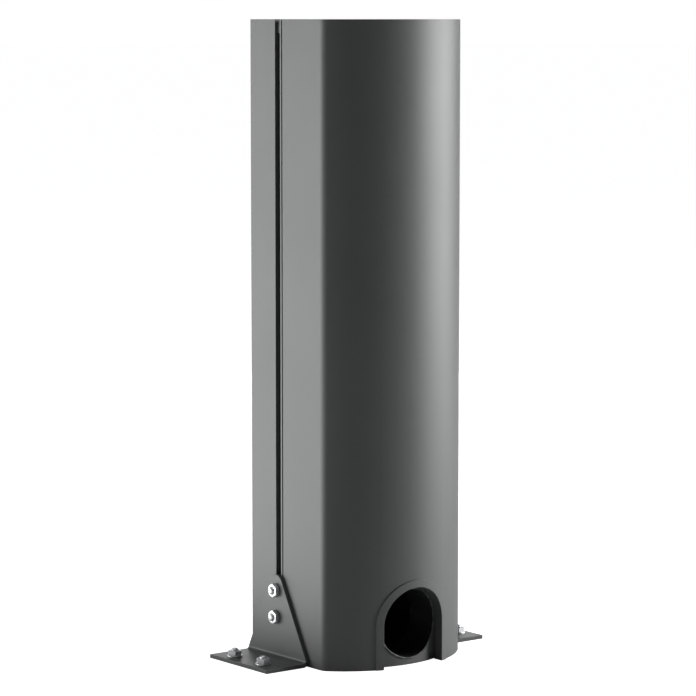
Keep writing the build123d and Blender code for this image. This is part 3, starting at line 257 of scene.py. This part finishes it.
FINE_COAT = {"Peel Scale": 620.0, "Grain Scale": 2800.0, "Grain Share": 0.4}
MOULDED = {"Peel Scale": 900.0, "Grain Scale": 3600.0, "Grain Share": 0.65}
ALONG_Z = {"Stretch": (1500.0, 1500.0, 25.0)}
ROUND_Z = {"Stretch": (30.0, 30.0, 2200.0)}
PLATED = {"Patch Scale": 480.0}
PRIMER = (0.16, 0.165, 0.17)
CELL_WALL = (0.9, 0.91, 0.91)
CELL_FACE = (0.66, 0.68, 0.69)
SHEET_SOIL = (0.5, 0.49, 0.47)
METAL = {"Metallic": 1.0}
SPLASH_DUST = (0.17, 0.16, 0.15)
DUST_ROUGHNESS = 0.25
SOIL_SHARE = 0.15
SKIN_SHARE = 0.2


def rgba(values, factor=1.0):
    """Colour with full alpha, made lighter or darker by a factor."""
    return tuple(v * factor for v in values) + (1.0,)


def surface(
    name, colour, roughness, relief, relief_values, bump, spread,
    bare_and_highlight=None, wear_and_highlight=0.0, edge_radius=0.4 * MM, dust=0.0, shader_values=None,
):
    """A finish: colour with patches of tone, worn edges (a painted rim highlight on the duct pipe)
    and floor dust over a relief.
    """
    material, tree = new_material(name)
    place = own_place(tree)
    under = place_group(tree, relief, {"Place": place, **relief_values})
    edges = place_group(tree, "wear_and_highlight", {"Place": place, "Radius": edge_radius, "Amount": wear_and_highlight})
    paint = blend_colour(tree, under["Tone"], rgba(colour, 1 - spread), rgba(colour, 1 + spread))
    # The edge mask blends in the edge colour: worn paint or plating on most finishes, and a painted
    # highlight on the duct pipe's rim.
    if bare_and_highlight:
        paint = blend_colour(tree, edges["Wear And Highlight"], paint, rgba(bare_and_highlight))
    rough = ramp_to(tree, under["Tone"], *roughness)
    if dust:
        splash = place_group(tree, "dust", {"Place": place, "Amount": dust})["Dust"]
        paint = blend_colour(tree, splash, paint, rgba(SPLASH_DUST))
        rough = maths(tree, "ADD", rough, maths(tree, "MULTIPLY", splash, DUST_ROUGHNESS), clamp=True)
    bumped = {"Strength": 1.0, "Distance": bump, "Height": under["Height"], "Normal": edges["Normal"]}
    normal = add(tree, "ShaderNodeBump", bumped).outputs[0]
    inputs = {"Base Color": paint, "Roughness": rough, "Normal": normal, **(shader_values or {})}
    put_out(tree, "ShaderNodeOutputMaterial", add(tree, "ShaderNodeBsdfPrincipled", inputs))
    return material


def reflective_sheet():
    """White prismatic sheet: small sealed cells with paler walls between them, a little soiled."""
    material, tree = new_material("white_prismatic_sheet")
    place = own_place(tree)
    cells = {"Vector": place, "Scale": 260.0, "Randomness": 0.35}
    walls = add(tree, "ShaderNodeTexVoronoi", cells, feature="DISTANCE_TO_EDGE").outputs["Distance"]
    cell = ramp_from(tree, walls, low=0.02, high=0.09)
    under = place_group(tree, "coat", {"Place": place, **MOULDED})
    clean = blend_colour(tree, cell, rgba(CELL_WALL), rgba(CELL_FACE))
    soiled = maths(tree, "MULTIPLY", under["Tone"], SOIL_SHARE)
    paint = blend_colour(tree, soiled, clean, rgba(SHEET_SOIL))
    height = maths(tree, "ADD", cell, maths(tree, "MULTIPLY", under["Height"], SKIN_SHARE))
    bumped = {"Strength": 1.0, "Distance": 0.03 * MM, "Height": height}
    inputs = {
        "Base Color": paint,
        "Roughness": ramp_to(tree, cell, low=0.42, high=0.24),
        "Normal": add(tree, "ShaderNodeBump", bumped).outputs[0],
        "Coat Weight": 0.6,
        "Coat Roughness": 0.08,
    }
    put_out(tree, "ShaderNodeOutputMaterial", add(tree, "ShaderNodeBsdfPrincipled", inputs))
    return material


FINISHES = {
    "casing_coat": surface(
        "satin_anthracite_coat", (0.085, 0.088, 0.087), (0.44, 0.5), "coat", FINE_COAT,
        bump=0.016 * MM, spread=0.05, bare_and_highlight=PRIMER, wear_and_highlight=0.25, dust=0.10,
    ),
    "post_coat": surface(
        "satin_post_coat", (0.06, 0.062, 0.062), (0.36, 0.44), "coat", FINE_COAT,
        bump=0.014 * MM, spread=0.05, bare_and_highlight=PRIMER, wear_and_highlight=0.3,
    ),
    "guide_coat": surface(
        "guide_tube_coat", (0.085, 0.088, 0.087), (0.42, 0.5), "coat", FINE_COAT,
        bump=0.02 * MM, spread=0.08, bare_and_highlight=PRIMER, wear_and_highlight=0.2, dust=0.2,
    ),
    "trim": surface(
        "moulded_arch_trim", (0.09, 0.093, 0.092), (0.44, 0.5), "coat", MOULDED,
        bump=0.018 * MM, spread=0.06, bare_and_highlight=(0.09, 0.09, 0.09), wear_and_highlight=0.2, dust=0.12,
    ),
    # Duct pipe: the near-black colour is partly the pipe's own dark grey and partly painted shade for
    # the deep inside of the pipe. The pale edge colour at full amount on a 1.6 mm edge radius is a
    # painted highlight along the rim, not a worn edge.
    "duct": surface(
        "duct_pipe_painted_shade_and_rim_highlight", (0.022, 0.022, 0.023), (0.36, 0.46), "coat", MOULDED,
        bump=0.015 * MM, spread=0.08, bare_and_highlight=(0.4, 0.4, 0.4), wear_and_highlight=1.0, edge_radius=1.6 * MM,
    ),
    "rubber": surface(
        "black_rubber", (0.014, 0.014, 0.014), (0.62, 0.8), "coat", MOULDED,
        bump=0.035 * MM, spread=0.2, shader_values={"Specular IOR Level": 0.35},
    ),
    "guide_plastic": surface(
        "black_polyethylene", (0.022, 0.022, 0.023), (0.3, 0.42), "coat", MOULDED,
        bump=0.015 * MM, spread=0.15,
    ),
    "cylinder_paint": surface(
        "black_gloss_paint", (0.01, 0.01, 0.01), (0.16, 0.24), "coat", FINE_COAT,
        bump=0.01 * MM, spread=0.1, shader_values={"Coat Weight": 0.5, "Coat Roughness": 0.06},
    ),
    "zinc": surface(
        "bright_zinc_plate", (0.72, 0.73, 0.74), (0.44, 0.56), "zinc", PLATED,
        bump=0.0025 * MM, spread=0.1, bare_and_highlight=(0.85, 0.86, 0.87), wear_and_highlight=0.6, edge_radius=0.3 * MM,
        shader_values=METAL,
    ),
    "bare_steel": surface(
        "ground_steel", (0.5, 0.5, 0.51), (0.28, 0.45), "drawn", ALONG_Z,
        bump=0.009 * MM, spread=0.12, bare_and_highlight=(0.7, 0.7, 0.71), wear_and_highlight=0.5, shader_values=METAL,
    ),
    "rod_chrome": surface(
        "hard_chrome_rod", (0.82, 0.82, 0.84), (0.04, 0.1), "drawn", ROUND_Z,
        bump=0.002 * MM, spread=0.03, shader_values=METAL,
    ),
    "brass": surface(
        "machined_brass", (0.72, 0.53, 0.24), (0.2, 0.34), "drawn", ROUND_Z,
        bump=0.007 * MM, spread=0.12, bare_and_highlight=(0.85, 0.68, 0.36), wear_and_highlight=0.5, shader_values=METAL,
    ),
    "band": reflective_sheet(),
}

for node_name, node_object in cad_nodes.items():
    node_object.material_slots[0].link = "OBJECT"
    node_object.material_slots[0].material = FINISHES[slot_of_node[node_name]]


# ---- Pieces that stand for CAD nodes ----

SAME_POINT = 0.0001 * MM
CAD_JOIN = 0.002 * MM
SHARP_ANGLE = math.radians(35.0)
EDGE_ANGLE = math.radians(32.0)
FLAT_ANGLE = math.radians(0.4)


def make_piece(shape, name, node, sharp_angle=SHARP_ANGLE):
    """Turns a finished bmesh into the piece that stands for a CAD node, and rides on its body."""
    bmesh.ops.remove_doubles(shape, verts=shape.verts, dist=SAME_POINT)
    bmesh.ops.recalc_face_normals(shape, faces=shape.faces)
    for face in shape.faces:
        face.smooth = True
    mesh = bpy.data.meshes.new(name)
    shape.to_mesh(mesh)
    shape.free()
    if sharp_angle:
        mesh.set_sharp_from_angle(angle=sharp_angle)
    mesh.materials.append(FINISHES[slot_of_node[node]])
    piece = bpy.data.objects.new(name, mesh)
    bpy.context.scene.collection.objects.link(piece)
    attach(piece, body_of_node[node])
    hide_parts(node)
    return piece


def ease_edges(node, name, width):
    """A copy of a CAD node with its loose triangles merged and every sharp edge rounded."""
    shape = bmesh.new()
    shape.from_mesh(cad_nodes[node].data)
    bmesh.ops.remove_doubles(shape, verts=shape.verts, dist=CAD_JOIN)
    bmesh.ops.dissolve_limit(shape, angle_limit=FLAT_ANGLE, verts=shape.verts, edges=shape.edges)
    sharp = [
        edge
        for edge in shape.edges
        if len(edge.link_faces) == 2 and edge.calc_face_angle() > EDGE_ANGLE
    ]
    bmesh.ops.bevel(
        shape,
        geom=sharp,
        offset=width,
        offset_type="OFFSET",
        affect="EDGES",
        segments=2,
        profile=0.5,
        material=-1,
        clamp_overlap=True,
    )
    piece = make_piece(shape, name, node, sharp_angle=None)
    weighted = piece.modifiers.new("even shading", "WEIGHTED_NORMAL")
    weighted.weight = 50
    weighted.keep_sharp = True


EASED = {
    "front_cover": ("bowed_cover", 0.22 * MM),
    "rear_profile": ("slotted_rear_profile", 0.22 * MM),
    "foot_bracket_left": ("folded_bracket_left", 0.6 * MM),
    "foot_bracket_right": ("folded_bracket_right", 0.6 * MM),
    "arch_trim": ("arch_edge_trim", 0.4 * MM),
    "port_spigot": ("duct_port_pipe", 0.4 * MM),
    "top_frame": ("casing_top_frame", 0.35 * MM),
    "post_cap": ("post_cap_plate", 0.35 * MM),
    "lock_cover": ("key_lock_cover", 0.45 * MM),
    "post_tube": ("rising_post_tube", 0.3 * MM),
}
for node_name, (piece_name, edge_width) in EASED.items():
    ease_edges(node_name, piece_name, edge_width)


# ---- M8 fixings ----

ORIGIN = (0.0, 0.0, 0.0)
Z_AXIS = (0.0, 0.0, 1.0)
HALF_SIXTH = math.radians(30)

M8_CREST = 3.9 * MM
M8_ROOT = 3.3 * MM
M8_PITCH = 1.25 * MM
CREST_HALF = 0.06 * M8_PITCH
RIDGE_FOOT = M8_ROOT - 0.02 * MM
THREAD_STEPS = 28
STUD_PROUD = 2.8 * MM
END_RADIUS = 3.75 * MM
END_CHAMFER = 0.3 * MM
DOME_HEIGHT = 2.2 * MM
THREAD_JOIN = 0.001 * MM
CUT_TOLERANCE = 0.00001 * MM

NUT_HEIGHT = 5.0 * MM
NUT_APOTHEM = 6.5 * MM
NUT_CORNER = NUT_APOTHEM / math.cos(HALF_SIXTH)
NUT_FACE = 6.15 * MM
NUT_BORE = 3.95 * MM
RIM_TOLERANCE = 0.001 * MM
BORE_LEAD = 0.45 * MM

WASHER_BORE = 4.2 * MM
WASHER_RIM = 8.0 * MM
WASHER_THICKNESS = 1.6 * MM
WASHER_EASE = 0.3 * MM
# How far in from both faces a rounded rim passes, as a share of its ease
ROUND_OFF = 0.3

# Up the slot, across it, and thick
BOLT_HEAD = (12.0 * MM, 14.0 * MM, 4.5 * MM)
HEAD_EASE = 0.5 * MM
SLOT_LIP = 4.5 * MM


def spin_outline(shape, outline, angle, steps, rise=0.0, merge=True):
    """Spins (radius, height) points about the Z axis, climbing by a rise at each step."""
    points = [shape.verts.new((radius, 0.0, height)) for radius, height in outline]
    lines = [shape.edges.new(pair) for pair in zip(points, points[1:])]
    bmesh.ops.spin(
        shape,
        geom=points + lines,
        cent=ORIGIN,
        axis=Z_AXIS,
        dvec=(0.0, 0.0, rise),
        angle=angle,
        steps=steps,
        use_merge=merge,
        use_duplicate=False,
    )


def merge_into(target, source, place):
    """Adds a bmesh to another, at a place, and frees it."""
    bmesh.ops.transform(source, matrix=place, verts=source.verts)
    held = bpy.data.meshes.new("held")
    source.to_mesh(held)
    source.free()
    target.from_mesh(held)
    bpy.data.meshes.remove(held)


def thread_ridge(height):
    """Helical M8 ridge from Z = 0 to a height, cut flat and closed at both ends."""
    ridge = bmesh.new()
    outline = [
        (RIDGE_FOOT, -M8_PITCH),
        (M8_CREST, -0.5 * M8_PITCH - CREST_HALF),
        (M8_CREST, -0.5 * M8_PITCH + CREST_HALF),
        (RIDGE_FOOT, 0.0),
    ]
    turns = math.ceil(height / M8_PITCH) + 2
    rise = M8_PITCH / THREAD_STEPS
    spin_outline(ridge, outline, math.tau * turns, THREAD_STEPS * turns, rise, merge=False)
    bmesh.ops.remove_doubles(ridge, verts=ridge.verts, dist=THREAD_JOIN)
    for cut_height, upwards in ((0.0, -1.0), (height, 1.0)):
        bmesh.ops.bisect_plane(
            ridge,
            geom=ridge.verts[:] + ridge.edges[:] + ridge.faces[:],
            dist=CUT_TOLERANCE,
            plane_co=(0.0, 0.0, cut_height),
            plane_no=(0.0, 0.0, upwards),
            clear_outer=True,
        )
    bmesh.ops.holes_fill(ridge, edges=[e for e in ridge.edges if e.is_boundary], sides=0)
    return ridge


def threaded_rod(length):
    """M8 rod from Z = 0: a smooth end with a turned dome, and a helical thread below it."""
    shape = bmesh.new()
    thread_end = length - STUD_PROUD
    dome = [
        (END_RADIUS * math.cos(turn), length - DOME_HEIGHT + DOME_HEIGHT * math.sin(turn))
        for turn in (math.radians(degrees) for degrees in range(0, 90, 10))
    ]
    core = [(0.0, 0.0), (M8_ROOT, 0.0), (M8_ROOT, thread_end), (END_RADIUS, thread_end + END_CHAMFER)]
    spin_outline(shape, [*core, *dome, (0.0, length)], math.tau, steps=40)
    merge_into(shape, thread_ridge(thread_end), Matrix.Identity(4))
    return shape


def hex_nut():
    """M8 nut on Z = 0: a turned ring whose rim is pushed out to six flats under chamfered faces."""
    shape = bmesh.new()
    outline = [
        (NUT_BORE + BORE_LEAD, 0.0),
        (NUT_FACE, 0.0),
        (NUT_APOTHEM, 0.0),
        (NUT_APOTHEM, NUT_HEIGHT),
        (NUT_FACE, NUT_HEIGHT),
        (NUT_BORE + BORE_LEAD, NUT_HEIGHT),
        (NUT_BORE, NUT_HEIGHT - BORE_LEAD),
        (NUT_BORE, BORE_LEAD),
        (NUT_BORE + BORE_LEAD, 0.0),
    ]
    spin_outline(shape, outline, math.tau, steps=72)
    bmesh.ops.remove_doubles(shape, verts=shape.verts, dist=SAME_POINT)
    for vert in shape.verts:
        radius = math.hypot(vert.co.x, vert.co.y)
        if radius > NUT_APOTHEM - RIM_TOLERANCE:
            turn = math.atan2(vert.co.y, vert.co.x) % (2 * HALF_SIXTH) - HALF_SIXTH
            wide = NUT_APOTHEM / math.cos(turn)
            drop = (wide - NUT_FACE) * math.tan(HALF_SIXTH)
            vert.co.x *= wide / radius
            vert.co.y *= wide / radius
            vert.co.z += drop if vert.co.z < NUT_HEIGHT / 2 else -drop
    return shape


def flat_washer():
    """Washer on Z = 0 with pressed, rounded edges."""
    shape = bmesh.new()
    corner = ROUND_OFF * WASHER_EASE
    outline = [
        (WASHER_BORE, 0.0),
        (WASHER_RIM - WASHER_EASE, 0.0),
        (WASHER_RIM - corner, corner),
        (WASHER_RIM, WASHER_EASE),
        (WASHER_RIM, WASHER_THICKNESS - WASHER_EASE),
        (WASHER_RIM - corner, WASHER_THICKNESS - corner),
        (WASHER_RIM - WASHER_EASE, WASHER_THICKNESS),
        (WASHER_BORE + WASHER_EASE, WASHER_THICKNESS),
        (WASHER_BORE, WASHER_THICKNESS - WASHER_EASE),
        (WASHER_BORE, 0.0),
    ]
    spin_outline(shape, outline, math.tau, steps=64)
    return shape


def t_bolt(length):
    """Slot bolt: rectangular head with eased edges below Z = 0, threaded rod above it."""
    shape = threaded_rod(length)
    head = bmesh.new()
    bmesh.ops.create_cube(head, size=1.0)
    bmesh.ops.scale(head, vec=BOLT_HEAD, verts=head.verts)
    bmesh.ops.bevel(
        head,
        geom=head.edges[:],
        offset=HEAD_EASE,
        offset_type="OFFSET",
        affect="EDGES",
        segments=2,
        profile=0.5,
        material=-1,
    )
    merge_into(shape, head, Matrix.Translation((0.0, 0.0, -BOLT_HEAD[2] / 2)))
    return shape


def corners(node):
    """Lowest and highest corner of the box round a CAD node."""
    axes = list(zip(*(vert.co for vert in cad_nodes[node].data.vertices)))
    return [min(axis) for axis in axes], [max(axis) for axis in axes]


nut_low, nut_high = corners("floor_nuts")
anchor_xs = (nut_low[0] + NUT_CORNER, nut_high[0] - NUT_CORNER)
anchor_ys = (nut_low[1] + NUT_APOTHEM, nut_high[1] - NUT_APOTHEM)
washer_top = nut_low[2]
flange_top = washer_top - WASHER_THICKNESS
side_low, side_high = corners("slot_nuts")
bolt_heights = (side_low[2] + NUT_CORNER, side_high[2] - NUT_CORNER)
bracket_face = side_high[0] - NUT_HEIGHT
slot_lip_face = corners("rear_profile")[1][0] - SLOT_LIP
side_rod = bracket_face - slot_lip_face + NUT_HEIGHT + STUD_PROUD
floor_rod = washer_top + NUT_HEIGHT + STUD_PROUD


def outward(x, z):
    """Place on a flank: local Z points out of the flank and local X points up."""
    side = math.copysign(1.0, x)
    return Matrix(((0, 0, side, x), (0, -side, 0, 0), (1, 0, 0, z), (0, 0, 0, 1)))


def on_flanks(x):
    """Places of the four slot bolts, at a distance from the middle."""
    return [outward(side * x, z) for side in (-1, 1) for z in bolt_heights]


def at_anchors(z):
    """Places of the four floor fixings, at a height."""
    return [Matrix.Translation((x, y, z)) for x in anchor_xs for y in anchor_ys]


def repeated(make, places, *sizes):
    """One bmesh holding a copy of a fixing at each place."""
    group = bmesh.new()
    for place in places:
        merge_into(group, make(*sizes), place)
    return group


make_piece(repeated(t_bolt, on_flanks(slot_lip_face), side_rod), "slot_t_bolts", "slot_bolts")
make_piece(repeated(hex_nut, on_flanks(bracket_face)), "slot_hex_nuts", "slot_nuts")
make_piece(repeated(threaded_rod, at_anchors(0.0), floor_rod), "anchor_studs", "floor_studs")
make_piece(repeated(hex_nut, at_anchors(washer_top)), "anchor_hex_nuts", "floor_nuts")
make_piece(repeated(flat_washer, at_anchors(flange_top)), "anchor_washers", "floor_washers")

# ---- Studio ----

WHITE = rgba((1.0, 1.0, 1.0))
COOL_FILL = rgba((0.9, 0.95, 1.0))
FILL_STRENGTH = 0.035
FLOOR_GREY = rgba((0.7, 0.7, 0.7))
FLOOR_GLOW = 0.97
FLOOR_REACH = 60.0

# Name, centre, point it faces, width and height in metres, power in watts
PANELS = (
    ("left_rear_panel", (-2.2, 2.0, 0.4), (0.0, 0.0, 0.4), 2.4, 1.3, 56.0),
    ("right_panel", (2.7, -1.15, 0.8), (0.0, 0.0, 0.3), 2.5, 2.2, 160.0),
    ("overhead_panel", (-0.3, 0.2, 3.2), ORIGIN, 2.0, 2.0, 30.0),
    ("rear_panel", (1.5, 1.95, 0.45), (0.0, 0.0, 0.3), 1.6, 0.9, 13.0),
    ("left_floor_card", (-1.35, 1.15, 0.003), (-1.35, 1.15, 2.0), 2.3, 2.3, 58.0),
)

CAMERA_PLACE = Vector((-1.91476, -2.46646, 0.66222))
CAMERA_YAW = math.radians(37.8387)
CAMERA_PITCH = math.radians(6.2636)
LEVEL = math.radians(90.0)
CAMERA_LENS = 155.05
CAMERA_SENSOR = 36.0
CAMERA_REACH = 200.0


def flat_panel(name, centre, aim, width, height, power):
    """Soft rectangular light that faces a point."""
    data = bpy.data.lights.new(name, "AREA")
    data.shape = "RECTANGLE"
    data.size = width
    data.size_y = height
    data.energy = power
    light = bpy.data.objects.new(name, data)
    direction = Vector(aim) - Vector(centre)
    light.location = centre
    light.rotation_euler = direction.to_track_quat("-Z", "Y").to_euler()
    light.visible_camera = False
    bpy.context.scene.collection.objects.link(light)


def white_surround():
    """World that looks white and lights the object with a faint cool fill."""
    world = bpy.data.worlds.new("studio_world")
    world.use_nodes = True
    bpy.context.scene.world = world
    tree = world.node_tree
    tree.nodes.clear()
    seen = tree.nodes.new("ShaderNodeLightPath").outputs["Is Camera Ray"]
    fill = add(tree, "ShaderNodeBackground", {"Color": COOL_FILL, "Strength": FILL_STRENGTH})
    white = add(tree, "ShaderNodeBackground", {"Color": WHITE, "Strength": 1.0})
    mixed = add(tree, "ShaderNodeMixShader", {0: seen, 1: fill.outputs[0], 2: white.outputs[0]})
    put_out(tree, "ShaderNodeOutputWorld", mixed)


def pale_floor():
    """Plain pale studio floor, a little brighter to the eye than it is to the object."""
    shape = bmesh.new()
    bmesh.ops.create_grid(shape, x_segments=1, y_segments=1, size=FLOOR_REACH)
    mesh = bpy.data.meshes.new("studio_floor")
    shape.to_mesh(mesh)
    shape.free()
    material, tree = new_material("pale_floor")
    seen = tree.nodes.new("ShaderNodeLightPath").outputs["Is Camera Ray"]
    matt = add(tree, "ShaderNodeBsdfDiffuse", {"Color": FLOOR_GREY})
    glow = add(tree, "ShaderNodeEmission", {"Color": WHITE, "Strength": FLOOR_GLOW})
    lit = add(tree, "ShaderNodeAddShader", {0: matt.outputs[0], 1: glow.outputs[0]})
    both = add(tree, "ShaderNodeMixShader", {0: seen, 1: matt.outputs[0], 2: lit.outputs[0]})
    put_out(tree, "ShaderNodeOutputMaterial", both)
    mesh.materials.append(material)
    floor = bpy.data.objects.new("studio_floor", mesh)
    bpy.context.scene.collection.objects.link(floor)


def studio_camera():
    """Camera to the left of the bowed front, tilted down a little."""
    data = bpy.data.cameras.new("camera")
    data.sensor_width = CAMERA_SENSOR
    data.lens = CAMERA_LENS
    data.clip_end = CAMERA_REACH
    camera = bpy.data.objects.new("camera", data)
    turned = Euler((LEVEL - CAMERA_PITCH, 0.0, -CAMERA_YAW))
    camera.matrix_world = Matrix.LocRotScale(CAMERA_PLACE, turned, None)
    bpy.context.scene.collection.objects.link(camera)
    return camera


for panel in PANELS:
    flat_panel(*panel)
white_surround()
pale_floor()
bpy.context.scene.camera = studio_camera()
bpy.context.scene.view_settings.view_transform = "Standard"
